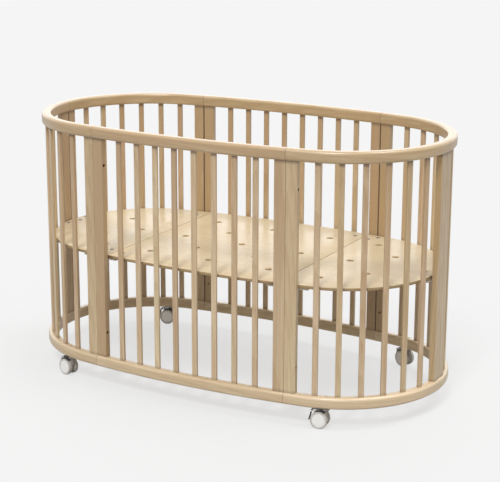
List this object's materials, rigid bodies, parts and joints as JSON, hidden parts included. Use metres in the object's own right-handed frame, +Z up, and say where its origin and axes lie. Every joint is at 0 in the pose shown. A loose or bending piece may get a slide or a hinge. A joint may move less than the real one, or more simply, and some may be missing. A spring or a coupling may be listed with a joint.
{
  "type": "oval baby crib",
  "caption": "Oval wooden baby crib with slatted sides, a height-adjustable three-panel plywood base and braked twin-wheel casters.",
  "frame": {"origin": "on the floor under the middle of the crib", "axes": "+X along the crib's length, +Y across it towards the back, +Z up"},
  "size_m": [1.395, 0.732, 0.838],
  "materials": {
    "beech": "clear satin lacquer on pale beech",
    "plywood": "clear satin lacquer on birch plywood",
    "steel": "zinc plated",
    "dark_plastic": "fine matte",
    "light_plastic": "satin"
  },
  "bodies": {
    "crib_frame": {"front_panel_top_rail": "beech", "front_panel_bottom_rail_and_slats": "beech", "front_panel_left_post": "beech", "front_panel_right_post": "beech", "front_right_panel_top_rail": "beech", "front_right_panel_bottom_rail_and_slats": "beech", "front_right_panel_left_post": "beech", "front_right_panel_right_post": "beech", "back_right_panel_top_rail": "beech", "back_right_panel_bottom_rail_and_slats": "beech", "back_right_panel_left_post": "beech", "back_right_panel_right_post": "beech", "back_panel_top_rail": "beech", "back_panel_bottom_rail_and_slats": "beech", "back_panel_left_post": "beech", "back_panel_right_post": "beech", "back_left_panel_top_rail": "beech", "back_left_panel_bottom_rail_and_slats": "beech", "back_left_panel_left_post": "beech", "back_left_panel_right_post": "beech", "front_left_panel_top_rail": "beech", "front_left_panel_bottom_rail_and_slats": "beech", "front_left_panel_left_post": "beech", "front_left_panel_right_post": "beech", "caster_front_left_stem": "steel", "caster_front_right_stem": "steel", "caster_back_right_stem": "steel", "caster_back_left_stem": "steel"},
    "mattress_base": {"base_middle_panel": "plywood", "base_left_panel": "plywood", "base_right_panel": "plywood", "base_bracket_front_left": "steel", "base_bracket_front_right": "steel", "base_bracket_right_end": "steel", "base_bracket_back_right": "steel", "base_bracket_back_left": "steel", "base_bracket_left_end": "steel"},
    "caster_front_left_swivel": {"caster_front_left_hood": "dark_plastic", "caster_front_left_axle": "steel"},
    "caster_front_left_right_wheel": {"caster_front_left_right_wheel": "light_plastic"},
    "caster_front_left_left_wheel": {"caster_front_left_left_wheel": "light_plastic"},
    "caster_front_left_brake_lever": {"caster_front_left_brake_lever": "dark_plastic"},
    "caster_front_right_swivel": {"caster_front_right_hood": "dark_plastic", "caster_front_right_axle": "steel"},
    "caster_front_right_right_wheel": {"caster_front_right_right_wheel": "light_plastic"},
    "caster_front_right_left_wheel": {"caster_front_right_left_wheel": "light_plastic"},
    "caster_front_right_brake_lever": {"caster_front_right_brake_lever": "dark_plastic"},
    "caster_back_right_swivel": {"caster_back_right_hood": "dark_plastic", "caster_back_right_axle": "steel"},
    "caster_back_right_right_wheel": {"caster_back_right_right_wheel": "light_plastic"},
    "caster_back_right_left_wheel": {"caster_back_right_left_wheel": "light_plastic"},
    "caster_back_right_brake_lever": {"caster_back_right_brake_lever": "dark_plastic"},
    "caster_back_left_swivel": {"caster_back_left_hood": "dark_plastic", "caster_back_left_axle": "steel"},
    "caster_back_left_right_wheel": {"caster_back_left_right_wheel": "light_plastic"},
    "caster_back_left_left_wheel": {"caster_back_left_left_wheel": "light_plastic"},
    "caster_back_left_brake_lever": {"caster_back_left_brake_lever": "dark_plastic"}
  },
  "joints": [
    {"name": "base_height", "type": "slide", "parent": "crib_frame", "child": "mattress_base", "axis": [0, 0, 1], "range_m": [-0.234, 0]},
    {"name": "caster_front_left_swivel", "type": "hinge", "parent": "crib_frame", "child": "caster_front_left_swivel", "pos_m": [-0.46064, -0.30892, 0.05], "axis": [0, 0, 1], "continuous": true},
    {"name": "caster_front_left_right_wheel_spin", "type": "hinge", "parent": "caster_front_left_swivel", "child": "caster_front_left_right_wheel", "pos_m": [-0.48036, -0.31683, 0.0265], "axis": [0.2588, 0.9659, 0], "continuous": true},
    {"name": "caster_front_left_left_wheel_spin", "type": "hinge", "parent": "caster_front_left_swivel", "child": "caster_front_left_left_wheel", "pos_m": [-0.47376, -0.2922, 0.0265], "axis": [0.2588, 0.9659, 0], "continuous": true},
    {"name": "caster_front_left_brake", "type": "hinge", "parent": "caster_front_left_swivel", "child": "caster_front_left_brake_lever", "pos_m": [-0.50249, -0.2977, 0.05105], "axis": [0.2588, 0.9659, 0], "range_deg": [0, 18]},
    {"name": "caster_front_right_swivel", "type": "hinge", "parent": "crib_frame", "child": "caster_front_right_swivel", "pos_m": [0.46064, -0.30892, 0.05], "axis": [0, 0, 1], "continuous": true},
    {"name": "caster_front_right_right_wheel_spin", "type": "hinge", "parent": "caster_front_right_swivel", "child": "caster_front_right_right_wheel", "pos_m": [0.44584, -0.32417, 0.0265], "axis": [-0.1564, 0.9877, 0], "continuous": true},
    {"name": "caster_front_right_left_wheel_spin", "type": "hinge", "parent": "caster_front_right_swivel", "child": "caster_front_right_left_wheel", "pos_m": [0.44185, -0.29899, 0.0265], "axis": [-0.1564, 0.9877, 0], "continuous": true},
    {"name": "caster_front_right_brake", "type": "hinge", "parent": "caster_front_right_swivel", "child": "caster_front_right_brake_lever", "pos_m": [0.41784, -0.3157, 0.05105], "axis": [-0.1564, 0.9877, 0], "range_deg": [0, 18]},
    {"name": "caster_back_right_swivel", "type": "hinge", "parent": "crib_frame", "child": "caster_back_right_swivel", "pos_m": [0.46064, 0.30892, 0.05], "axis": [0, 0, 1], "continuous": true},
    {"name": "caster_back_right_right_wheel_spin", "type": "hinge", "parent": "caster_back_right_swivel", "child": "caster_back_right_right_wheel", "pos_m": [0.4403, 0.30275, 0.0265], "axis": [0.342, 0.9397, 0], "continuous": true},
    {"name": "caster_back_right_left_wheel_spin", "type": "hinge", "parent": "caster_back_right_swivel", "child": "caster_back_right_left_wheel", "pos_m": [0.44902, 0.32671, 0.0265], "axis": [0.342, 0.9397, 0], "continuous": true},
    {"name": "caster_back_right_brake", "type": "hinge", "parent": "caster_back_right_swivel", "child": "caster_back_right_brake_lever", "pos_m": [0.41992, 0.32374, 0.05105], "axis": [0.342, 0.9397, 0], "range_deg": [0, 18]},
    {"name": "caster_back_left_swivel", "type": "hinge", "parent": "crib_frame", "child": "caster_back_left_swivel", "pos_m": [-0.46064, 0.30892, 0.05], "axis": [0, 0, 1], "continuous": true},
    {"name": "caster_back_left_right_wheel_spin", "type": "hinge", "parent": "caster_back_left_swivel", "child": "caster_back_left_right_wheel", "pos_m": [-0.47376, 0.2922, 0.0265], "axis": [-0.2588, 0.9659, 0], "continuous": true},
    {"name": "caster_back_left_left_wheel_spin", "type": "hinge", "parent": "caster_back_left_swivel", "child": "caster_back_left_left_wheel", "pos_m": [-0.48036, 0.31683, 0.0265], "axis": [-0.2588, 0.9659, 0], "continuous": true},
    {"name": "caster_back_left_brake", "type": "hinge", "parent": "caster_back_left_swivel", "child": "caster_back_left_brake_lever", "pos_m": [-0.50249, 0.2977, 0.05105], "axis": [-0.2588, 0.9659, 0], "range_deg": [0, 18]}
  ]
}
